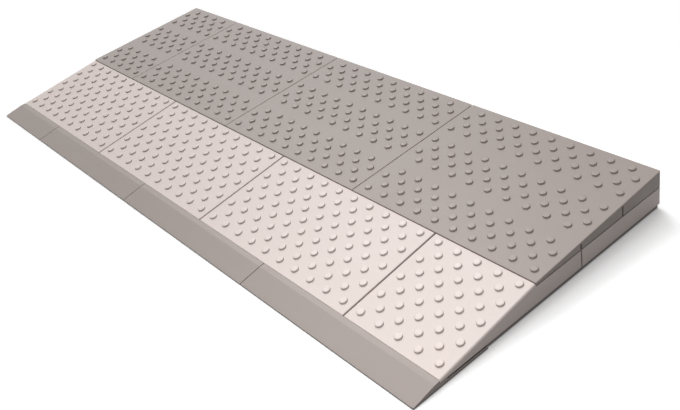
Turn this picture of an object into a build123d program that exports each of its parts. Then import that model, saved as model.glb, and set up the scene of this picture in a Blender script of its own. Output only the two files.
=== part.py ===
from build123d import *
from math import atan2, ceil, cos, degrees, pi, sin, sqrt
import os

# Threshold ramp: a low, wide wedge built up from moulded plastic modules in two layers.
# Toe strips lead up to studded slope tiles, whose flat rear strips and the base blocks behind
# them carry the studded top tiles. Each toe strip and top tile bridges two lower modules, as
# bricks do, and push-in plugs key the layers together.
# Frame: origin on the floor under the middle of the ramp, +X across the doorway, +Y up the ramp
# towards the threshold, +Z up. Millimetres. A "run" is a distance along Y from the toe's tip.

# Modules, placed by the half modules that they span, counted from the left-hand end
half_width = 120.0
half_count = 7
lower_spans = {"left": (0, 2), "middle": (2, 4), "right": (4, 6), "half": (6, 7)}
bridging_spans = {"half": (0, 1), "left": (1, 3), "middle": (3, 5), "right": (5, 7)}
seam_gap = 1.8
bridging_gap = 1.0
butt_gap = 0.4
end_inset = 0.5

# The ramp from the side
toe_depth = 29.3
slope_depth = 114.9
top_depth = 178.8
skirt_gap = 4.7
layer_height = 23.2
top_thickness = 17.8
lip_thickness = 3.7
rebate = 2.6
front_edge = 2.9

# Toe strip
tip_height = 1.2
toe_step = 0.3
toe_land_depth = 5.5
toe_land_rise = 0.4
toe_shoulder = 8.0
tongue_reach = 53.0
tongue_thickness = 3.4

# Moulded walls
plate = 2.8
wall = 2.6
rib = 2.0
rib_spacing = 120.0
foot_inset = 2.3
foot_rim = 2.4
least_hollow = 1.2
edge_break = 0.5
end_round = 2.0
joint_break = 0.9
corner_break = 1.2
foot_round = 2.0

# Studs, in rows that are spaced along the level run
stud_diameter = 8.0
stud_height = 1.6
stud_draft = 12.0
stud_sides = 4
stud_pitch = 24.0
stud_row_pitch = 12.0
slope_first_row = 11.5
top_first_row = 12.1
last_row_margin = 6.0

# Saw slots, under rows of the top tile that have no studs
saw_rows = (4, 9)
slot_width = 2.0
slot_web = 2.0

# Plugs
plug_clearance = 0.2
plug_size = 12.0
plug_depth = 12.0
plug_rise = 2.2
toe_plug_size = 8.0
toe_plug_rise = 5.0
toe_plug_inset = 20.0
post_wall = 3.0

# Places that follow from the sizes above
slope_end = toe_depth + slope_depth
ramp_depth = slope_end + top_depth
slope_front_height = skirt_gap + front_edge
slope_rear_height = layer_height + rebate
top_front_height = layer_height + lip_thickness
top_rear_height = layer_height + top_thickness
slope_rise = slope_rear_height - slope_front_height
top_rise = top_rear_height - top_front_height
slope_angle = atan2(slope_rise, slope_depth)
top_angle = atan2(top_rise, top_depth)
saw_runs = [slope_end + top_first_row + stud_row_pitch * row for row in saw_rows]
lower_seam = saw_runs[0]
strip_edges = [slope_end, *saw_runs, ramp_depth]
strip_runs = [(low + high) / 2 for low, high in zip(strip_edges, strip_edges[1:])]
tongue_end = toe_depth + tongue_reach
toe_plug_run = tongue_end - toe_plug_inset
socket = plug_size + 2 * plug_clearance
toe_socket = toe_plug_size + 2 * plug_clearance
post = socket + 2 * post_wall
toe_post = toe_socket + 2 * post_wall
foot_wall = foot_inset + foot_rim
foot_front = tongue_end + butt_gap

# A stud's polygon has the area of the round stud that it stands for
stud_radius = stud_diameter / 2 * sqrt(2 * pi / (stud_sides * sin(2 * pi / stud_sides)))


def line_x(line):
    """The X of a module line, counted in half modules from the left-hand end."""
    return (line - half_count / 2) * half_width


def ends(first, last, gap=seam_gap):
    """The X of a module's two ends, half a gap inside a shared line or an inset inside the ramp's end."""
    left = end_inset if first == 0 else gap / 2
    right = end_inset if last == half_count else gap / 2
    return line_x(first) + left, line_x(last) - right


def plug_x(first, last):
    """The X of each plug between two module lines: one in the middle of every half module."""
    return [line_x(line + 0.5) for line in range(first, last)]


def plug_points(first, last, runs):
    """The places of a module's plugs on the XY plane."""
    return [(x, run - ramp_depth / 2) for x in plug_x(first, last) for run in runs]


def slope_z(run):
    """Height of the slope tile's top surface."""
    return slope_front_height + (run - toe_depth) * slope_rise / slope_depth


def top_z(run):
    """Height of the top tile's top surface."""
    return top_front_height + (run - slope_end) * top_rise / top_depth


def layer_z(run):
    """Height of the lower layer's flat top, the same at every run."""
    return layer_height


def under(surface, low, high, base, cover):
    """A side profile from a flat base up to a surface, less a cover of plastic."""
    return [(low, base), (high, base), (high, surface(high) - cover), (low, surface(low) - cover)]


def cells(first, last, side, gap=seam_gap):
    """The X limits of a module's hollows, between its end walls, one side thick, and evenly spaced ribs."""
    start, end = ends(first, last, gap)
    count = ceil((last - first) * half_width / rib_spacing)
    pitch = (end - start) / count
    middles = [start + pitch * cell for cell in range(1, count)]
    lows = [start + side] + [x + rib / 2 for x in middles]
    highs = [x - rib / 2 for x in middles] + [end - side]
    return list(zip(lows, highs))


def sloping(piece):
    """The faces of a plain prism that lean: its top surface."""
    return piece.faces().filter_by(Axis.X, reverse=True).filter_by(Axis.Y, reverse=True).filter_by(
        Axis.Z, reverse=True)


def slope_ends(piece):
    """The end edges of a plain prism's top surface, from left to right."""
    return sloping(piece).edges().filter_by(Axis.X, reverse=True).sort_by(Axis.X)


def prism(profile, low, high, mode=Mode.ADD):
    """Extrudes a side profile of runs and heights from X low to X high in the part being built."""
    plane = Plane(origin=(low, -ramp_depth / 2, 0), x_dir=(0, 1, 0), z_dir=(1, 0, 0))
    with BuildSketch(plane) as section:
        with BuildLine() as outline:
            Polyline(*profile, close=True)
        make_face(outline.edges())
    extrude(section.sketch, amount=high - low, mode=mode)


def columns(points, size, base, height, mode=Mode.ADD):
    """Extrudes a square column from Z base at each point in the part being built."""
    with BuildSketch(Plane.XY.offset(base)) as section:
        with Locations(*points):
            Rectangle(size, size)
    extrude(section.sketch, amount=height, mode=mode)


def foot(first, last, front, rear):
    """A slab on the floor under a lower module, set back from its ends, in the part being built."""
    start, end = ends(first, last)
    profile = [(front, 0), (rear, 0), (rear, skirt_gap), (front, skirt_gap)]
    prism(profile, start + foot_inset, end - foot_inset)


def posts(first, last, surface, runs, size, base):
    """Square posts from Z base up into the plate under a surface, in the part being built."""
    for x in plug_x(first, last):
        for run in runs:
            profile = under(surface, run - size / 2, run + size / 2, base, plate / 2)
            prism(profile, x - size / 2, x + size / 2)


def row_count(depth, first_row):
    """How many rows of studs fit on a slope of a level depth."""
    return int((depth - first_row - last_row_margin) // stud_row_pitch) + 1


def studs(first, last, origin, angle, first_row, rows):
    """Raises staggered rows of studs on a slope in the part being built."""
    run, height = origin
    width = (last - first) * half_width
    count = int(width // stud_pitch)
    margin = (width - count * stud_pitch) / 2
    points = []
    for row in rows:
        stagger = row % 2
        start = margin + (1 + stagger) / 2 * stud_pitch
        for place in range(count - stagger):
            points.append((start + place * stud_pitch, (first_row + row * stud_row_pitch) / cos(angle)))
    plane = Plane(origin=(line_x(first), run - ramp_depth / 2, height), x_dir=(1, 0, 0),
                  z_dir=(0, -sin(angle), cos(angle)))
    with BuildSketch(plane) as section:
        with Locations(*points):
            RegularPolygon(stud_radius, stud_sides, rotation=180 / stud_sides)
    extrude(section.sketch, amount=stud_height, taper=stud_draft)


def toe_strip(first, last):
    """Smooth leading edge, with a shoulder under the slope tiles and a tongue on the floor behind it."""
    rear = toe_depth - butt_gap / 2
    shoulder = toe_depth + toe_shoulder
    rear_height = slope_front_height - toe_step
    land = (toe_depth - toe_land_depth, rear_height - toe_land_rise)
    points = plug_points(first, last, [toe_plug_run])
    with BuildPart() as strip:
        prism([(0, 0), (0, tip_height), land, (rear, rear_height), (rear, skirt_gap),
               (shoulder, skirt_gap), (shoulder, tongue_thickness), (tongue_end, tongue_thickness),
               (tongue_end, 0)], *ends(first, last, bridging_gap))
        columns(points, toe_socket, 0, tongue_thickness, Mode.SUBTRACT)
    return strip


def slope_tile(first, last):
    """Studded tile of the lower layer, on a foot rim, with a flat strip behind for the top tile."""
    front = toe_depth + butt_gap / 2
    step = slope_end - butt_gap / 2
    rear = lower_seam - seam_gap / 2
    hollow_front = toe_depth + (plate + least_hollow - front_edge) * slope_depth / slope_rise
    hollow_middle = (hollow_front + step) / 2
    hollows = [under(slope_z, hollow_front, hollow_middle - rib / 2, 0, plate),
               under(slope_z, hollow_middle + rib / 2, step - rib, 0, plate),
               under(layer_z, step, rear - wall, 0, plate)]
    toe_points = plug_points(first, last, [toe_plug_run])
    strip_points = plug_points(first, last, strip_runs[:1])
    rows = range(row_count(slope_depth, slope_first_row))
    with BuildPart() as tile:
        prism([(front, skirt_gap), (front, slope_z(front)), (step, slope_z(step)), (step, layer_height),
               (rear, layer_height), (rear, skirt_gap)], *ends(first, last))
        if first == 0:
            fillet(slope_ends(tile)[0], end_round)
        else:
            chamfer(slope_ends(tile)[0], edge_break)
        if last == half_count:
            fillet(slope_ends(tile)[-1], end_round)
        else:
            chamfer(slope_ends(tile)[-1], edge_break)
        foot(first, last, foot_front, rear)
        for low, high in cells(first, last, foot_wall):
            for hollow in hollows:
                prism(hollow, low, high, Mode.SUBTRACT)
        posts(first, last, slope_z, [toe_plug_run], toe_post, tongue_thickness)
        posts(first, last, layer_z, strip_runs[:1], post, 0)
        columns(toe_points, toe_socket, tongue_thickness, toe_plug_rise + plug_clearance, Mode.SUBTRACT)
        columns(strip_points, socket, layer_height, -plug_depth, Mode.SUBTRACT)
        studs(first, last, (toe_depth, slope_front_height), slope_angle, slope_first_row, rows)
    return tile


def base_block(first, last):
    """Flat block of the lower layer, on a foot rim, that carries the rear of the top tiles."""
    front = lower_seam + seam_gap / 2
    hollows = [under(layer_z, front + wall, saw_runs[1] - rib / 2, 0, plate),
               under(layer_z, saw_runs[1] + rib / 2, ramp_depth - foot_wall, 0, plate)]
    points = plug_points(first, last, strip_runs[1:])
    with BuildPart() as block:
        prism([(front, skirt_gap), (front, layer_height), (ramp_depth, layer_height),
               (ramp_depth, skirt_gap)], *ends(first, last))
        chamfer(block.edges().filter_by(Axis.Z).group_by(Axis.Y)[-1], corner_break)
        fillet(block.edges().filter_by(Axis.X).group_by(Axis.Y)[-1].sort_by(Axis.Z)[0], foot_round)
        foot(first, last, front, ramp_depth - foot_inset)
        for low, high in cells(first, last, foot_wall):
            for hollow in hollows:
                prism(hollow, low, high, Mode.SUBTRACT)
        posts(first, last, layer_z, strip_runs[1:], post, 0)
        columns(points, socket, layer_height, -plug_depth, Mode.SUBTRACT)
    return block


def top_tile(first, last):
    """Studded wedge of the upper layer, parted by saw slots into strips that a thin web joins."""
    front = slope_end + butt_gap / 2
    clear = slot_width / 2 + wall
    hollows = [under(top_z, saw_runs[0] + clear, saw_runs[1] - clear, layer_height, plate),
               under(top_z, saw_runs[1] + clear, ramp_depth - wall, layer_height, plate)]
    slots = [under(top_z, run - slot_width / 2, run + slot_width / 2, layer_height, slot_web)
             for run in saw_runs]
    points = plug_points(first, last, strip_runs)
    rows = [row for row in range(row_count(top_depth, top_first_row)) if row not in saw_rows]
    with BuildPart() as tile:
        prism([(front, layer_height), (front, top_z(front)), (ramp_depth, top_rear_height),
               (ramp_depth, layer_height)], *ends(first, last, bridging_gap))
        chamfer(slope_ends(tile), edge_break)
        chamfer(tile.edges().filter_by(Axis.Y).group_by(Axis.Z)[0], joint_break)
        chamfer(tile.edges().filter_by(Axis.Z).group_by(Axis.Y)[-1], corner_break)
        for slot in slots:
            prism(slot, *ends(first, last, bridging_gap), Mode.SUBTRACT)
        for low, high in cells(first, last, wall, bridging_gap):
            for hollow in hollows:
                prism(hollow, low, high, Mode.SUBTRACT)
        posts(first, last, top_z, strip_runs[1:], post, layer_height)
        columns(points, socket, layer_height, plug_rise + plug_clearance, Mode.SUBTRACT)
        studs(first, last, (slope_end, top_front_height), top_angle, top_first_row, rows)
    return tile


def plug_row(run, size, base, height):
    """A row of square plugs, one to every half module."""
    with BuildPart() as plugs:
        columns(plug_points(0, half_count, [run]), size, base, height)
    return plugs


def write(piece, name):
    """Labels a piece and writes it under its name."""
    piece.part.label = name
    export_step(piece.part, f"parts/{name}.step")


os.makedirs("parts", exist_ok=True)
for place, (first, last) in lower_spans.items():
    write(slope_tile(first, last), f"slope_tile_{place}")
    write(base_block(first, last), f"base_block_{place}")
for place, (first, last) in bridging_spans.items():
    write(toe_strip(first, last), f"toe_strip_{place}")
    write(top_tile(first, last), f"top_tile_{place}")
plug_base = layer_height - plug_depth
for place, run in zip(("front", "middle", "rear"), strip_runs):
    write(plug_row(run, plug_size, plug_base, plug_depth + plug_rise), f"coupling_plugs_{place}")
write(plug_row(toe_plug_run, toe_plug_size, 0, tongue_thickness + toe_plug_rise), "toe_plugs")
print("slopes of", round(degrees(slope_angle), 1), "and", round(degrees(top_angle), 1), "degrees")
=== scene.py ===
"""Looks of the threshold ramp: moulded modules with round studs, matt plastics, a white studio, a camera.

Sizes of the ramp are millimetres and become metres where a mesh or a node is made. The studio and the
camera are in metres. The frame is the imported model's: origin on the floor under the middle of the ramp,
+X across it, +Y up the slope, +Z up.
"""
import logging
import math
from dataclasses import dataclass, field
from enum import Enum
from typing import Any, Iterable, Sequence

import bmesh
import bpy
from mathutils import Matrix, Vector


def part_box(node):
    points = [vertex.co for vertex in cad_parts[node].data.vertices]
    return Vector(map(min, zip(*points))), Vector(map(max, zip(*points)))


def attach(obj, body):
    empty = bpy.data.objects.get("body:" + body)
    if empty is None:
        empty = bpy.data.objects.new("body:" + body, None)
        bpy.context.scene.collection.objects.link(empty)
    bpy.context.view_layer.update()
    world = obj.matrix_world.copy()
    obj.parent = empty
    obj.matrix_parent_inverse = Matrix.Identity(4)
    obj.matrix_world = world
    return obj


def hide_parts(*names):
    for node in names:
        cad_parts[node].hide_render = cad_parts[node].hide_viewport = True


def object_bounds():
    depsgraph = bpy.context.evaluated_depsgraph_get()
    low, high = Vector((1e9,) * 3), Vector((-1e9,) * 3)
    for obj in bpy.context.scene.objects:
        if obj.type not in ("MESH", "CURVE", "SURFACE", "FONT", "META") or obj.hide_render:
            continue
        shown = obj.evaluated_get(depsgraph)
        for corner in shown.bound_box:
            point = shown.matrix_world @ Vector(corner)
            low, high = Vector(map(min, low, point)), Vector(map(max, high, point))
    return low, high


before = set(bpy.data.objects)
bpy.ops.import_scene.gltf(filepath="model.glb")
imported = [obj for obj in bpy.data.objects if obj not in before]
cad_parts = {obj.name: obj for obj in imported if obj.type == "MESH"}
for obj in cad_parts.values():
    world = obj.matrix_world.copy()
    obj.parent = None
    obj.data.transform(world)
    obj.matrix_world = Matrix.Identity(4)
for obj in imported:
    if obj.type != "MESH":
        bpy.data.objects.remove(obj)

LOG = logging.getLogger("threshold_ramp")
CAD_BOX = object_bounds()
MM = 0.001
NEAR = 0.1 * MM
WHITE = (1.0, 1.0, 1.0, 1.0)


class Slot(Enum):
    """The record's material slots."""

    LIGHT = "light_plastic"
    GREY = "grey_plastic"
    PLUG = "plug_plastic"


class Mark(Enum):
    """The mesh attributes that a plastic reads."""

    RISE = "stud_rise"
    TONE = "stud_tone"
    WEAR = "edge_wear"
    DUST = "joint_dust"


class Side(Enum):
    """A module's side: the axis that it faces along, and 0 for the axis's low end or 1 for its high end."""

    LEFT = (0, 0)
    RIGHT = (0, 1)
    FRONT = (1, 0)
    REAR = (1, 1)

    @property
    def axis(self) -> int:
        """The axis, 0 for X and 1 for Y."""
        return self.value[0]

    @property
    def end(self) -> int:
        """The end of the axis, 0 for low and 1 for high."""
        return self.value[1]

    @property
    def outward(self) -> int:
        """The way out along the axis, -1 or 1."""
        return 2 * self.end - 1


class Term:
    """A number that varies over a surface or a set of points: arithmetic on it adds Math nodes."""

    def __init__(self, graph: "Graph", socket: bpy.types.NodeSocket) -> None:
        """Wraps an output socket.

        Args:
            graph: the graph that the socket belongs to.
            socket: the output socket that carries the number.
        """
        self.graph = graph
        self.socket = socket

    def _math(self, operation: str, *values: Any) -> "Term":
        """Adds a Math node.

        Args:
            operation: the Math node's operation.
            values: its inputs in order, terms or numbers.

        Returns:
            The node's output as a term.
        """
        node = self.graph.node("ShaderNodeMath", {"operation": operation}, dict(enumerate(values)))
        return Term(self.graph, node.outputs[0])

    def __add__(self, other: Any) -> "Term":
        """Sum."""
        return self._math("ADD", self, other)

    def __radd__(self, other: Any) -> "Term":
        """Sum with the number first."""
        return self._math("ADD", other, self)

    def __sub__(self, other: Any) -> "Term":
        """Difference."""
        return self._math("SUBTRACT", self, other)

    def __rsub__(self, other: Any) -> "Term":
        """Difference with the number first."""
        return self._math("SUBTRACT", other, self)

    def __mul__(self, other: Any) -> "Term":
        """Product."""
        return self._math("MULTIPLY", self, other)

    def __rmul__(self, other: Any) -> "Term":
        """Product with the number first."""
        return self._math("MULTIPLY", other, self)

    def __truediv__(self, other: Any) -> "Term":
        """Quotient."""
        return self._math("DIVIDE", self, other)

    def __mod__(self, other: Any) -> "Term":
        """Remainder."""
        return self._math("MODULO", self, other)

    def floor(self) -> "Term":
        """The whole number below."""
        return self._math("FLOOR", self)

    def equals(self, other: Any, slack: float = 0.5) -> "Term":
        """1 where the two differ by no more than the slack, and 0 elsewhere."""
        return self._math("COMPARE", self, other, slack)

    def above(self, other: Any) -> "Term":
        """1 where this is the larger of the two, and 0 elsewhere."""
        return self._math("GREATER_THAN", self, other)

    def at_most(self, other: Any) -> "Term":
        """The smaller of the two."""
        return self._math("MINIMUM", self, other)

    def at_least(self, other: Any) -> "Term":
        """The larger of the two."""
        return self._math("MAXIMUM", self, other)


class Graph:
    """Adds nodes to a shader tree or a geometry tree."""

    def __init__(self, tree: bpy.types.NodeTree) -> None:
        """Empties a tree for new nodes.

        Args:
            tree: the node tree to fill.
        """
        self.tree = tree
        tree.nodes.clear()

    def node(
        self,
        kind: str,
        settings: dict[str, Any] | None = None,
        sockets: dict[str | int, Any] | None = None,
    ) -> bpy.types.Node:
        """Adds one node.

        Args:
            kind: the node's type.
            settings: attributes of the node, set before its sockets.
            sockets: values, terms or output sockets for its inputs, by name or place.

        Returns:
            The new node.
        """
        node = self.tree.nodes.new(kind)
        for name, value in (settings or {}).items():
            setattr(node, name, value)
        for key, value in (sockets or {}).items():
            self.put(node.inputs[key], value)
        return node

    def put(self, socket: bpy.types.NodeSocket, value: Any) -> None:
        """Gives an input its value or its link.

        Args:
            socket: the input socket.
            value: a term, an output socket or a plain value.
        """
        if isinstance(value, Term):
            value = value.socket
        if isinstance(value, bpy.types.NodeSocket):
            self.tree.links.new(value, socket)
        else:
            socket.default_value = value

    def term(self, node: bpy.types.Node, output: str | int = 0) -> Term:
        """One output of a node, as a term."""
        return Term(self, node.outputs[output])


@dataclass(frozen=True)
class MouldedPlastic:
    """A matt plastic with a mould's fine grain, slight clouding, painted shade, and wear, painted highlight
    and polish on what wheels touch.
    """

    name: str
    colour: tuple[float, float, float]
    roughness: float = 0.42
    refraction: float = 1.46
    gloss: float = 0.35
    polish: float = 0.08
    noise_roughness: float = 0.55
    clouding: float = 0.035
    cloud_size: float = 70.0
    cloud_detail: float = 3.0
    cloud_shine: float = 0.12
    flow_size: float = 24.0
    flow_stretch: tuple[float, float, float] = (0.25, 1.0, 1.0)
    fine_detail: float = 2.0
    grain_tone: float = 0.025
    grain_size: float = 0.7
    grain_depth: float = 0.04
    grain_bump: float = 0.5
    grain_shine: float = 0.10
    # Stud tops drawn lighter: wear and a painted highlight.
    stud_light: float = 0.01
    stud_variety: float = 0.03
    # Painted shade on the lower sides of the studs, in a band set by the skirt sizes below.
    stud_shade: float = 0.38
    skirt_foot: float = 6.0
    skirt_top: float = 0.75
    skirt_fade: float = 8.0
    # Bevelled edges drawn lighter: wear and a painted highlight.
    edge_light: float = 0.10
    # Painted shade on the faces marked for it: in joints, on the foot, under overhangs, on the toe's tip
    # and the tongue's top.
    joint_dust: float = 0.64
    # Painted shade along the end walls' lines at the layers' joint and near the floor.
    line_shade: float = 0.50
    line_height: float = 23.6
    line_half: float = 0.8
    line_start: float = -17.0
    line_end: float = 417.0
    floor_line: float = 1.7

    def noise(
        self,
        graph: Graph,
        size: float,
        detail: float,
        stretch: tuple[float, float, float] = (1.0, 1.0, 1.0),
    ) -> Term:
        """A noise on Object coordinates, centred on zero.

        Args:
            graph: the material's graph.
            size: the pattern's coarsest feature in millimetres.
            detail: the noise's octaves.
            stretch: scale of the pattern along each axis.

        Returns:
            The noise as a term from about -0.5 to 0.5.
        """
        place = graph.node("ShaderNodeTexCoord")
        scaled = graph.node(
            "ShaderNodeMapping", None, {"Vector": place.outputs["Object"], "Scale": stretch}
        )
        cloud = graph.node(
            "ShaderNodeTexNoise",
            {"noise_dimensions": "3D"},
            {
                "Vector": scaled.outputs[0],
                "Scale": 1.0 / (size * MM),
                "Detail": detail,
                "Roughness": self.noise_roughness,
            },
        )
        return graph.term(cloud, 0) - 0.5

    def mark(self, graph: Graph, mark: Mark) -> Term:
        """A mesh attribute of the piece, as a term."""
        return graph.term(graph.node("ShaderNodeAttribute", {"attribute_name": mark.value}), "Fac")

    def wall_lines(self, graph: Graph) -> Term:
        """Marks the lines of painted shade on the ramp's end walls: along the layers' joint and along the
        floor.

        Args:
            graph: the material's graph.

        Returns:
            1 on the lines and 0 elsewhere.
        """
        place = graph.node("ShaderNodeTexCoord")
        spot = graph.node("ShaderNodeSeparateXYZ", None, {0: place.outputs["Object"]})
        x = graph.term(spot, "X")
        level = graph.term(spot, "Z").equals(self.line_height * MM, self.line_half * MM)
        behind = graph.term(spot, "Y").above(self.line_start * MM)
        low = 1.0 - graph.term(spot, "Z").above(self.floor_line * MM)
        return (level * behind).at_least(low) * (x * x).above((self.line_end * MM) ** 2)

    def dust(self, graph: Graph, rise: Term) -> Term:
        """Works out the painted shade in joints, on the foot, under overhangs, round the studs and along
        the end walls' lines.

        Args:
            graph: the material's graph.
            rise: the height on a stud, from 0 to 1.

        Returns:
            The share of light that the painted shade takes.
        """
        # A band of painted shade low on each stud's side.
        foot = (rise * self.skirt_foot).at_most(1.0)
        skirt = foot * ((self.skirt_top - rise) * self.skirt_fade).at_most(1.0).at_least(0.0)
        dust = self.mark(graph, Mark.DUST) * self.joint_dust + skirt * self.stud_shade
        # The end walls' lines get at least their painted shade.
        return dust.at_least(self.wall_lines(graph) * self.line_shade)

    def material(self) -> bpy.types.Material:
        """Makes the material, once.

        Returns:
            The Blender material of this finish.
        """
        made = bpy.data.materials.get(self.name)
        if made:
            return made
        made = bpy.data.materials.new(self.name)
        made.use_nodes = True
        graph = Graph(made.node_tree)
        cloud = self.noise(graph, self.cloud_size, self.cloud_detail)
        flow = self.noise(graph, self.flow_size, self.fine_detail, self.flow_stretch)
        grain = self.noise(graph, self.grain_size, self.fine_detail)
        rise = self.mark(graph, Mark.RISE)
        tone = self.mark(graph, Mark.TONE)
        edge = self.mark(graph, Mark.WEAR)
        # Wear and painted highlight: stud tops and bevelled edges drawn lighter.
        wear_and_highlight = rise * (self.stud_light + tone * self.stud_variety) + edge * self.edge_light
        mottle = cloud * (2.0 * self.clouding) + flow * self.clouding + grain * (2.0 * self.grain_tone)
        # Painted shade takes its share off the colour.
        light = (1.0 + mottle + wear_and_highlight) * (1.0 - self.dust(graph, rise))
        tinted = graph.node(
            "ShaderNodeVectorMath", {"operation": "SCALE"}, {0: self.colour, "Scale": light}
        )
        shine = self.roughness + cloud * self.cloud_shine + grain * self.grain_shine
        bump = graph.node(
            "ShaderNodeBump",
            None,
            {"Strength": self.grain_bump, "Distance": self.grain_depth * MM, "Height": grain},
        )
        surface = graph.node(
            "ShaderNodeBsdfPrincipled",
            None,
            {
                "Base Color": tinted.outputs[0],
                "Roughness": shine - (rise + edge).at_most(1.0) * self.polish,
                "Normal": bump.outputs[0],
                "IOR": self.refraction,
                "Specular IOR Level": self.gloss,
            },
        )
        graph.node("ShaderNodeOutputMaterial", None, {"Surface": surface.outputs[0]})
        return made


@dataclass(frozen=True)
class StudField:
    """Staggered rows of round studs on a slope, laid out and raised by one Geometry Nodes tree.

    The rings are a stud's steps from its foot up: how far each rises, and how much its top closes in.
    """

    start: tuple[float, float, float]
    angle: float
    across: int
    rows: int
    first_row: float
    row_pitch: float
    pitch: float
    bare_every: int
    diameter: float
    seed: int
    rings: tuple[tuple[float, float], ...] = ((1.40, 0.96), (0.32, 0.91), (0.08, 0.75))
    sunk: float = 0.2
    sides: int = 16

    @property
    def height(self) -> float:
        """How far a stud stands above the slope, in millimetres."""
        return sum(rise for rise, _ in self.rings) - self.sunk

    def stud(self, graph: Graph, sockets: dict[str, bpy.types.NodeSocket]) -> bpy.types.NodeSocket:
        """Adds the nodes that make one stud: a disc drawn up in rings that close in.

        Args:
            graph: the tree's graph.
            sockets: the tree's inputs by name.

        Returns:
            The stud's geometry, with its height kept as an attribute.
        """
        disc = graph.node(
            "GeometryNodeMeshCircle",
            {"fill_type": "NGON"},
            {"Vertices": sockets["Sides"], "Radius": Term(graph, sockets["Diameter"]) * 0.5},
        )
        lowered = graph.node(
            "GeometryNodeTransform",
            None,
            {"Geometry": disc.outputs[0], "Translation": (0.0, 0.0, -self.sunk * MM)},
        )
        shape = lowered.outputs[0]
        top = None
        for rise, closing in self.rings:
            drawn = graph.node(
                "GeometryNodeExtrudeMesh",
                {"mode": "FACES"},
                {"Mesh": shape, "Offset Scale": rise * MM, "Individual": False},
            )
            if top:
                graph.put(drawn.inputs["Selection"], top)
            top = drawn.outputs["Top"]
            closed = graph.node(
                "GeometryNodeScaleElements",
                {"domain": "FACE"},
                {"Geometry": drawn.outputs["Mesh"], "Selection": top, "Scale": closing},
            )
            shape = closed.outputs[0]
        place = graph.node("GeometryNodeInputPosition")
        spot = graph.node("ShaderNodeSeparateXYZ", None, {0: place.outputs[0]})
        risen = (graph.term(spot, "Z") / (self.height * MM)).at_least(0.0)
        kept = graph.node(
            "GeometryNodeStoreNamedAttribute",
            {"data_type": "FLOAT", "domain": "POINT"},
            {"Geometry": shape, "Name": Mark.RISE.value, "Value": risen},
        )
        smooth = graph.node("GeometryNodeSetShadeSmooth", None, {"Geometry": kept.outputs[0]})
        return smooth.outputs[0]

    def places(self, graph: Graph, sockets: dict[str, bpy.types.NodeSocket]) -> bpy.types.NodeSocket:
        """Adds the nodes that lay out one point for each stud, flat and from the origin.

        Args:
            graph: the tree's graph.
            sockets: the tree's inputs by name.

        Returns:
            The points, each with a tone of its own as an attribute.
        """
        across = Term(graph, sockets["Across"])
        points = graph.node(
            "GeometryNodePoints", None, {"Count": across * Term(graph, sockets["Rows"]), "Radius": MM}
        )
        index = graph.term(graph.node("GeometryNodeInputIndex"))
        row = ((index + 0.5) / across).floor()
        place = index - row * across
        stagger = row % 2.0
        x = (place + 0.5 + stagger * 0.5) * Term(graph, sockets["Pitch"])
        y = Term(graph, sockets["First row"]) + row * Term(graph, sockets["Row pitch"])
        spot = graph.node("ShaderNodeCombineXYZ", None, {"X": x, "Y": y})
        laid = graph.node(
            "GeometryNodeSetPosition", None, {"Geometry": points.outputs[0], "Position": spot.outputs[0]}
        )
        tone = graph.node(
            "FunctionNodeRandomValue", {"data_type": "FLOAT"}, {"Seed": sockets["Seed"], "ID": index}
        )
        toned = graph.node(
            "GeometryNodeStoreNamedAttribute",
            {"data_type": "FLOAT", "domain": "POINT"},
            {"Geometry": laid.outputs[0], "Name": Mark.TONE.value, "Value": tone.outputs[1]},
        )
        cycle = Term(graph, sockets["Bare every"])
        bare = (row % cycle).equals(cycle - 1.0)
        over = stagger * place.equals(across - 1.0)
        culled = graph.node(
            "GeometryNodeDeleteGeometry",
            {"domain": "POINT"},
            {"Geometry": toned.outputs[0], "Selection": bare.at_least(over)},
        )
        return culled.outputs[0]

    def tree(self) -> bpy.types.NodeTree:
        """Makes the tree, once.

        Returns:
            The geometry tree with named inputs for the field's sizes.
        """
        made = bpy.data.node_groups.get("stud field")
        if made:
            return made
        made = bpy.data.node_groups.new("stud field", "GeometryNodeTree")
        face = made.interface
        face.new_socket("Geometry", in_out="OUTPUT", socket_type="NodeSocketGeometry")
        kinds = {
            "Geometry": "NodeSocketGeometry",
            "Start": "NodeSocketVector",
            "Slope": "NodeSocketFloat",
            "Across": "NodeSocketInt",
            "Rows": "NodeSocketInt",
            "Pitch": "NodeSocketFloat",
            "Row pitch": "NodeSocketFloat",
            "First row": "NodeSocketFloat",
            "Bare every": "NodeSocketInt",
            "Diameter": "NodeSocketFloat",
            "Sides": "NodeSocketInt",
            "Seed": "NodeSocketInt",
            "Plastic": "NodeSocketMaterial",
        }
        for name, kind in kinds.items():
            face.new_socket(name, in_out="INPUT", socket_type=kind)
        graph = Graph(made)
        given = graph.node("NodeGroupInput")
        sockets = {name: given.outputs[name] for name in kinds}
        placed = graph.node(
            "GeometryNodeInstanceOnPoints",
            None,
            {"Points": self.places(graph, sockets), "Instance": self.stud(graph, sockets)},
        )
        tilt = graph.node("ShaderNodeCombineXYZ", None, {"X": sockets["Slope"]})
        tilted = graph.node(
            "GeometryNodeTransform",
            None,
            {"Geometry": placed.outputs[0], "Translation": sockets["Start"], "Rotation": tilt.outputs[0]},
        )
        real = graph.node("GeometryNodeRealizeInstances", None, {"Geometry": tilted.outputs[0]})
        joined = graph.node("GeometryNodeJoinGeometry")
        made.links.new(real.outputs[0], joined.inputs[0])
        made.links.new(sockets["Geometry"], joined.inputs[0])
        dressed = graph.node(
            "GeometryNodeSetMaterial", None, {"Geometry": joined.outputs[0], "Material": sockets["Plastic"]}
        )
        graph.node("NodeGroupOutput", None, {0: dressed.outputs[0]})
        return made

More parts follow.
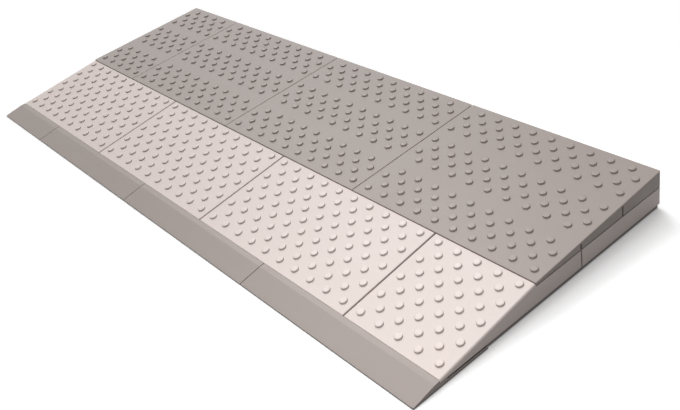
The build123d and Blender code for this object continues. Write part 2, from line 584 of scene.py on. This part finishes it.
    def raise_on(self, piece: bpy.types.Object, finish: MouldedPlastic) -> None:
        """Adds the field to a piece as a modifier with its sizes set.

        Args:
            piece: the bare tile.
            finish: the plastic of tile and studs.
        """
        made = self.tree()
        values = {
            "Start": tuple(part * MM for part in self.start),
            "Slope": self.angle,
            "Across": self.across,
            "Rows": self.rows,
            "Pitch": self.pitch * MM,
            "Row pitch": self.row_pitch * MM,
            "First row": self.first_row * MM,
            "Bare every": self.bare_every,
            "Diameter": self.diameter * MM,
            "Sides": self.sides,
            "Seed": self.seed,
            "Plastic": finish.material(),
        }
        modifier = piece.modifiers.new("studs", "NODES")
        modifier.node_group = made
        for item in made.interface.items_tree:
            if item.item_type == "SOCKET" and item.in_out == "INPUT" and item.name in values:
                modifier[item.identifier] = values[item.name]


@dataclass
class Module:
    """A moulded module that stands for one CAD node: the node's shape with soft edges, marks for wear and
    painted highlight, and painted shade.
    """

    node: str
    finish: MouldedPlastic
    body: str = "lower_layer"
    slot: Slot = Slot.LIGHT
    merge_distance: float = 0.01
    flat_angle: float = 0.3
    sharp_angle: float = 28.0
    smooth_angle: float = 50.0
    edge_radius: float = 0.35
    edge_segments: int = 2
    edge_profile: float = 0.5
    steep: float = 0.5
    facing: float = 0.7
    # Faces that face down within this range get full painted shade.
    overhang: tuple[float, float] = (-0.95, -0.35)
    foot_height: float = 4.7
    foot_slack: float = 0.05
    foot_inset: float = 2.3
    foot_growth: float = 1.0
    foot_reach: float = 0.8
    # Painted shade on the foot rim.
    foot_shade: float = 1.0
    joint_sides: tuple[Side, ...] = tuple(Side)
    joint_depth: float = 0.6
    # Painted shade on a face in a seam against a neighbour.
    seam_shade: float = 0.15
    end_depth: float = 0.65
    end_moves: tuple[float, float] = (0.0, 0.0)
    own: Sequence[Vector] = field(init=False)
    made: bpy.types.Object | None = field(default=None, init=False)

    def __post_init__(self) -> None:
        """Keeps the lowest and the highest corner of the CAD node."""
        self.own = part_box(self.node)

    def inner(self, side: Side) -> bool:
        """Whether the module ends short of the ramp's own end on that side."""
        return abs(self.own[side.end][side.axis] - CAD_BOX[side.end][side.axis]) > self.joint_depth * MM

    def trim(self, shell: bmesh.types.BMesh) -> None:
        """Changes the node's shape before its faces are made whole. A plain module keeps it."""

    def widen_foot(self, shell: bmesh.types.BMesh) -> None:
        """Brings the foot rim nearer to the ramp's end walls and to the module behind or in front.

        Args:
            shell: the merged copy of the node's mesh, changed in place.
        """
        rim = CAD_BOX[1][0] - self.foot_inset * MM
        joints = [side for side in self.joint_sides if side.axis == 1 and self.inner(side)]
        for vertex in shell.verts:
            if vertex.co.z > (self.foot_height + self.foot_slack) * MM:
                continue
            if abs(abs(vertex.co.x) - rim) < NEAR:
                vertex.co.x += math.copysign(self.foot_growth * MM, vertex.co.x)
            for side in joints:
                if vertex.co.z < NEAR and abs(vertex.co.y - self.own[side.end].y) < NEAR:
                    vertex.co.y += side.outward * self.foot_reach * MM

    def move_ends(self, shell: bmesh.types.BMesh) -> None:
        """Moves the ends that meet a neighbour in the same row along X, with their broken edges.

        Args:
            shell: the merged copy of the node's mesh, changed in place.
        """
        for side, move in zip((Side.LEFT, Side.RIGHT), self.end_moves):
            for vertex in shell.verts:
                if self.inner(side) and abs(vertex.co.x - self.own[side.end].x) < self.end_depth * MM:
                    vertex.co.x += move * MM

    def at_joint(self, face: bmesh.types.BMFace) -> bool:
        """Whether a face stands against a neighbouring module.

        Args:
            face: a face of the module.

        Returns:
            True for a steep face on a side that meets a neighbour.
        """
        if abs(face.normal.z) >= self.steep:
            return False
        centre = face.calc_center_median()
        for side in filter(self.inner, self.joint_sides):
            move = self.end_moves[side.end] * MM if side.axis == 0 else 0.0
            depth = abs(centre[side.axis] - self.own[side.end][side.axis] - move)
            if face.normal[side.axis] * side.outward > self.facing and depth < self.joint_depth * MM:
                return True
        return False

    def dust(self, face: bmesh.types.BMFace) -> float:
        """How much painted shade a face gets: most on the foot and under an overhang, less against a
        neighbour.

        Args:
            face: a face of the module.

        Returns:
            The share of the finish's painted shade, from 0 to 1.
        """
        if abs(face.normal.z) < self.steep and face.calc_center_median().z < self.foot_height * MM:
            return self.foot_shade
        if self.overhang[0] < face.normal.z < self.overhang[1]:
            return 1.0
        return self.seam_shade if self.at_joint(face) else 0.0

    def shell(self) -> bpy.types.Mesh:
        """Copies the node's mesh, merges it to whole faces and softens its sharp edges.

        Returns:
            The module's mesh, with its softened edges marked for wear and painted highlight, and its foot,
            overhangs and joints for painted shade.
        """
        shell = bmesh.new()
        shell.from_mesh(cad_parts[self.node].data)
        bmesh.ops.remove_doubles(shell, verts=shell.verts[:], dist=self.merge_distance * MM)
        self.trim(shell)
        self.widen_foot(shell)
        self.move_ends(shell)
        bmesh.ops.dissolve_limit(
            shell, angle_limit=math.radians(self.flat_angle), verts=shell.verts[:], edges=shell.edges[:]
        )
        bmesh.ops.recalc_face_normals(shell, faces=shell.faces[:])
        layers = shell.faces.layers.float
        layers.new(Mark.WEAR.value)
        layers.new(Mark.DUST.value)
        wear_highlight_layer = layers[Mark.WEAR.value]
        shade_layer = layers[Mark.DUST.value]
        limit = math.radians(self.sharp_angle)
        sharp = [edge for edge in shell.edges if edge.is_manifold and edge.calc_face_angle() > limit]
        softened = bmesh.ops.bevel(
            shell,
            geom=sharp,
            offset=self.edge_radius * MM,
            offset_type="OFFSET",
            segments=self.edge_segments,
            profile=self.edge_profile,
            affect="EDGES",
            clamp_overlap=False,
        )
        shell.normal_update()
        # Bevelled faces get the mark for wear and painted highlight.
        for face in softened["faces"]:
            face[wear_highlight_layer] = 1.0
        for face in shell.faces:
            face.smooth = True
            # Each face's share of painted shade; a shaded face loses its wear and highlight mark.
            face[shade_layer] = self.dust(face)
            if face[shade_layer]:
                face[wear_highlight_layer] = 0.0
        mesh = bpy.data.meshes.new(f"{self.node}_shell")
        shell.to_mesh(mesh)
        shell.free()
        mesh.set_sharp_from_angle(angle=math.radians(self.smooth_angle))
        return mesh

    def grow(self, piece: bpy.types.Object) -> None:
        """Adds modifiers that make more of the piece. A plain module has none."""

    def build(self) -> bpy.types.Object:
        """Makes the piece as one plain mesh in the scene.

        Returns:
            The piece, at the origin, with its place in its mesh.
        """
        piece = bpy.data.objects.new(f"{self.node}_moulding", self.shell())
        bpy.context.scene.collection.objects.link(piece)
        piece.data.materials.append(self.finish.material())
        self.grow(piece)
        even = piece.modifiers.new("even shading", "WEIGHTED_NORMAL")
        even.mode = "FACE_AREA"
        even.keep_sharp = True
        graph = bpy.context.evaluated_depsgraph_get()
        whole = bpy.data.meshes.new_from_object(
            piece.evaluated_get(graph), preserve_all_data_layers=True, depsgraph=graph
        )
        piece.modifiers.clear()
        spare = piece.data
        piece.data = whole
        bpy.data.meshes.remove(spare)
        whole.name = piece.name
        self.made = piece
        return piece

    def dress(self) -> None:
        """Joins the piece to its body and hides the CAD node that it stands for."""
        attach(self.made, self.body)
        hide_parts(self.node)


@dataclass
class ToeStrip(Module):
    """The smooth leading edge, with a shoulder and a tongue that run on under the slope tiles."""

    slot: Slot = Slot.GREY
    smooth_angle: float = 2.0
    edge_radius: float = 0.2
    # Painted shade: none on the foot, more in a seam.
    foot_shade: float = 0.0
    seam_shade: float = 0.7
    end_moves: tuple[float, float] = (0.85, 1.15)
    shoulder_line: float = -132.4
    shoulder_move: float = 0.3
    cover_start: float = 2.0
    tip_growth: float = 0.4
    tip_facing: float = -0.6

    def trim(self, shell: bmesh.types.BMesh) -> None:
        """Closes up the joint with the slope tiles, which hardly shows, and makes the tip a little taller.

        Args:
            shell: the merged copy of the node's mesh, changed in place.
        """
        for vertex in shell.verts:
            if abs(vertex.co.y - self.shoulder_line * MM) < NEAR:
                vertex.co.y += self.shoulder_move * MM
            if abs(vertex.co.y - CAD_BOX[0][1]) < NEAR and vertex.co.z > NEAR:
                vertex.co.z += self.tip_growth * MM

    def dust(self, face: bmesh.types.BMFace) -> float:
        """How much painted shade a face gets: most on the tip and the tongue's top, less in a seam, which
        has no foot.

        Args:
            face: a face of the strip.

        Returns:
            The share of the finish's painted shade, from 0 to 1.
        """
        # The tip and the covered top of the tongue get full painted shade.
        behind = face.calc_center_median().y > (self.shoulder_line + self.cover_start) * MM
        covered = behind and face.normal.z > self.steep
        if covered or face.normal.y < self.tip_facing:
            return 1.0
        return self.seam_shade if self.at_joint(face) else super().dust(face)


@dataclass
class StuddedTile(Module):
    """A module whose CAD studs give way to round ones."""

    joint_sides: tuple[Side, ...] = (Side.LEFT, Side.RIGHT, Side.REAR)
    studs: StudField | None = None
    skin: float = 0.05

    def trim(self, shell: bmesh.types.BMesh) -> None:
        """Takes the CAD studs off the slope and closes it with one face.

        Args:
            shell: the merged copy of the node's mesh, changed in place.
        """
        start = Vector(self.studs.start) * MM
        normal = Vector((0.0, -math.sin(self.studs.angle), math.cos(self.studs.angle)))
        above = {vertex for vertex in shell.verts if (vertex.co - start).dot(normal) > -self.skin * MM}
        top = [face for face in shell.faces if all(vertex in above for vertex in face.verts)]
        bmesh.ops.delete(shell, geom=top, context="FACES")
        rim = [edge for edge in shell.edges if edge.is_boundary]
        bmesh.ops.edgeloop_fill(shell, edges=rim)

    def grow(self, piece: bpy.types.Object) -> None:
        """Raises the round studs on the bare slope."""
        self.studs.raise_on(piece, self.finish)


@dataclass
class SlopeTile(StuddedTile):
    """A light tile of the lower layer's slope."""

    # Painted shade in the seams between slope tiles.
    seam_shade: float = 0.3
    end_moves: tuple[float, float] = (0.6, 0.6)


@dataclass
class TopTile(StuddedTile):
    """A grey wedge of the upper layer, which lifts off."""

    slot: Slot = Slot.GREY
    end_moves: tuple[float, float] = (-0.2, 0.2)


@dataclass
class BaseBlock(Module):
    """A flat block of the lower layer, behind a slope tile."""


@dataclass
class PlugSet(Module):
    """A row of push-in plugs that key the layers together."""

    slot: Slot = Slot.PLUG


@dataclass(frozen=True)
class Slope:
    """The slope of a row of tiles: where it starts, how it climbs and how its studs stand.

    The last of every bare_every rows has no studs. Its default is more rows than a slope has.
    """

    start: float
    depth: float
    heights: tuple[float, float]
    first_row: float
    rows: int
    stud_diameter: float
    stud_pitch: float = 24.0
    row_pitch: float = 12.0
    bare_every: int = 1000
    seed_step: int = 10


@dataclass(frozen=True)
class Ramp:
    """The ramp's layout: which modules there are, where their studs start, and what they are made of.

    A span is a module's place and its first and last line, in half modules from the left-hand end.
    """

    half_width: float = 120.0
    half_count: int = 7
    ramp_depth: float = 323.0
    lower_spans: tuple[tuple[str, int, int], ...] = (
        ("left", 0, 2),
        ("middle", 2, 4),
        ("right", 4, 6),
        ("half", 6, 7),
    )
    bridging_spans: tuple[tuple[str, int, int], ...] = (
        ("half", 0, 1),
        ("left", 1, 3),
        ("middle", 3, 5),
        ("right", 5, 7),
    )
    plug_sets: tuple[str, ...] = (
        "coupling_plugs_front",
        "coupling_plugs_middle",
        "coupling_plugs_rear",
        "toe_plugs",
    )
    light_slope: Slope = Slope(
        start=29.3, depth=114.9, heights=(7.6, 25.8), first_row=11.5, rows=9, stud_diameter=8.0
    )
    grey_slope: Slope = Slope(
        start=144.2,
        depth=178.8,
        heights=(26.9, 41.0),
        first_row=12.1,
        rows=14,
        stud_diameter=7.7,
        bare_every=5,
    )
    light: MouldedPlastic = MouldedPlastic("light plastic", (0.78, 0.679, 0.639))
    # The grey studs get no painted highlight or shade; grey and plug edges get more wear and painted
    # highlight.
    grey: MouldedPlastic = MouldedPlastic(
        "grey plastic", (0.379, 0.323, 0.2955), stud_light=0.0, stud_shade=0.0, edge_light=0.14
    )
    dark: MouldedPlastic = MouldedPlastic(
        "plug plastic", (0.075, 0.073, 0.072), roughness=0.5, edge_light=0.3
    )

    def studs(self, slope: Slope, first: int, last: int) -> StudField:
        """The studs of one tile.

        Args:
            slope: the slope of the tile's row.
            first: the tile's first line.
            last: its last line.

        Returns:
            The field of studs.
        """
        angle = math.atan2(slope.heights[1] - slope.heights[0], slope.depth)
        stretch = 1.0 / math.cos(angle)
        left = (first - self.half_count / 2) * self.half_width
        return StudField(
            start=(left, slope.start - self.ramp_depth / 2, slope.heights[0]),
            angle=angle,
            across=int((last - first) * self.half_width // slope.stud_pitch),
            rows=slope.rows,
            first_row=slope.first_row * stretch,
            row_pitch=slope.row_pitch * stretch,
            pitch=slope.stud_pitch,
            bare_every=slope.bare_every,
            diameter=slope.stud_diameter,
            seed=slope.seed_step * first + slope.rows,
        )

    def modules(self) -> Iterable[Module]:
        """Lists the ramp's modules, front to back.

        Returns:
            One module for each CAD node.
        """
        for place, _, _ in self.bridging_spans:
            yield ToeStrip(f"toe_strip_{place}", self.grey)
        for place, first, last in self.lower_spans:
            studs = self.studs(self.light_slope, first, last)
            yield SlopeTile(f"slope_tile_{place}", self.light, studs=studs)
            yield BaseBlock(f"base_block_{place}", self.light)
        for place, first, last in self.bridging_spans:
            node = f"top_tile_{place}"
            yield TopTile(node, self.grey, node, studs=self.studs(self.grey_slope, first, last))
        for node in self.plug_sets:
            yield PlugSet(node, self.dark)


@dataclass(frozen=True)
class FarLamp:
    """A lamp far off, given by the way to it, its spread in degrees and its strength."""

    name: str
    towards: tuple[float, float, float]
    spread: float
    strength: float
    distance: float = 3.0

    def build(self) -> None:
        """Hangs the lamp."""
        sun = bpy.data.lights.new(self.name, "SUN")
        sun.energy = self.strength
        sun.angle = math.radians(self.spread)
        lamp = bpy.data.objects.new(self.name, sun)
        lamp.rotation_mode = "QUATERNION"
        lamp.rotation_quaternion = Vector(self.towards).to_track_quat("Z", "Y")
        lamp.location = Vector(self.towards) * self.distance
        bpy.context.scene.collection.objects.link(lamp)


@dataclass(frozen=True)
class Softbox:
    """A square lamp close above the ramp that looks straight down, in metres and watts."""

    name: str
    place: tuple[float, float, float]
    side: float
    power: float

    def build(self) -> None:
        """Hangs the lamp."""
        panel = bpy.data.lights.new(self.name, "AREA")
        panel.size = self.side
        panel.energy = self.power
        lamp = bpy.data.objects.new(self.name, panel)
        lamp.location = self.place
        bpy.context.scene.collection.objects.link(lamp)


@dataclass(frozen=True)
class Studio:
    """A white floor that keeps the shadow, an even sky and soft lamps, the strongest from upper left."""

    floor_side: float = 16.0
    floor_drop: float = 0.0002
    floor_bounce: float = 0.27
    floor_white: float = 1.35
    floor_shadow: float = 0.85
    sky: float = 0.258
    lamps: tuple[FarLamp | Softbox, ...] = (
        FarLamp("broad lamp", (-0.45, 0.25, 0.857), 45.0, 1.25),
        FarLamp("small lamp", (-0.65, 0.30, 0.70), 20.0, 0.64),
        Softbox("overhead box", (0.42, -0.28, 0.45), 0.30, 0.70),
    )

    def seen(self, graph: Graph) -> Term:
        """Picks out the rays that show the background: the camera's, reflected ones and those let through.

        Args:
            graph: the graph of the floor's material or of the sky.

        Returns:
            1 for those rays and 0 for the rest.
        """
        path = graph.node("ShaderNodeLightPath")
        straight = graph.term(path, "Is Camera Ray") + graph.term(path, "Is Glossy Ray")
        return (straight + graph.term(path, "Is Transmission Ray")).at_most(1.0)

    def floor_material(self) -> bpy.types.Material:
        """Makes the floor's material, white to the camera and less bright to the object.

        Returns:
            The Blender material of the floor.
        """
        white = bpy.data.materials.new("white floor")
        white.use_nodes = True
        graph = Graph(white.node_tree)
        matt = graph.node("ShaderNodeBsdfDiffuse", None, {"Color": (self.floor_white,) * 3 + (1.0,)})
        glow = graph.node("ShaderNodeEmission", None, {"Color": WHITE, "Strength": 1.0})
        dull = graph.node("ShaderNodeBsdfDiffuse", None, {"Color": (self.floor_bounce,) * 3 + (1.0,)})
        shown = graph.node(
            "ShaderNodeMixShader", None, {0: self.floor_shadow, 1: glow.outputs[0], 2: matt.outputs[0]}
        )
        whole = graph.node(
            "ShaderNodeMixShader", None, {0: self.seen(graph), 1: dull.outputs[0], 2: shown.outputs[0]}
        )
        graph.node("ShaderNodeOutputMaterial", None, {"Surface": whole.outputs[0]})
        return white

    def floor(self) -> None:
        """Lays the floor."""
        half = self.floor_side / 2
        mesh = bpy.data.meshes.new("studio_floor")
        corners = [(-half, -half), (half, -half), (half, half), (-half, half)]
        mesh.from_pydata([(x, y, -self.floor_drop) for x, y in corners], [], [(0, 1, 2, 3)])
        mesh.materials.append(self.floor_material())
        floor = bpy.data.objects.new("studio_floor", mesh)
        bpy.context.scene.collection.objects.link(floor)

    def sky_light(self) -> None:
        """Makes the even sky, white to the camera."""
        world = bpy.data.worlds.new("even sky")
        world.use_nodes = True
        graph = Graph(world.node_tree)
        strength = self.sky + self.seen(graph) * (1.0 - self.sky)
        sky = graph.node("ShaderNodeBackground", None, {"Color": WHITE, "Strength": strength})
        graph.node("ShaderNodeOutputWorld", None, {"Surface": sky.outputs[0]})
        bpy.context.scene.world = world

    def build(self) -> None:
        """Sets up floor, sky, lamps and the plain view of colours."""
        self.floor()
        self.sky_light()
        for lamp in self.lamps:
            lamp.build()
        bpy.context.scene.view_settings.view_transform = "Standard"


@dataclass(frozen=True)
class ViewingCamera:
    """The camera that the photograph's perspective gives. Its lens and sensor are in millimetres."""

    eye: tuple[float, float, float] = (0.79489, -0.41808, 0.48724)
    along: tuple[float, float, float] = (-0.664508, 0.520765, -0.535941)
    right: tuple[float, float, float] = (0.678368, 0.721197, -0.140326)
    lens: float = 45.52
    sensor: float = 36.0
    shift: tuple[float, float] = (-0.1104, -0.0332)
    nearest: float = 0.01

    def build(self) -> None:
        """Makes the camera and gives it to the scene."""
        data = bpy.data.cameras.new("photograph")
        data.sensor_width = self.sensor
        data.lens = self.lens
        data.shift_x, data.shift_y = self.shift
        data.clip_start = self.nearest
        camera = bpy.data.objects.new("photograph", data)
        back = -Vector(self.along).normalized()
        up = back.cross(Vector(self.right)).normalized()
        right = up.cross(back)
        turn = Matrix((right, up, back)).transposed()
        camera.matrix_world = Matrix.Translation(self.eye) @ turn.to_4x4()
        bpy.context.scene.collection.objects.link(camera)
        bpy.context.scene.camera = camera


def main() -> None:
    """Builds the camera, the modules and the studio."""
    logging.basicConfig(level=logging.INFO, format="%(message)s")
    ViewingCamera().build()
    for module in Ramp().modules():
        piece = module.build()
        module.dress()
        LOG.info("%s: %d faces on %s", piece.name, len(piece.data.polygons), module.body)
    Studio().build()


if __name__ == "__main__":
    main()
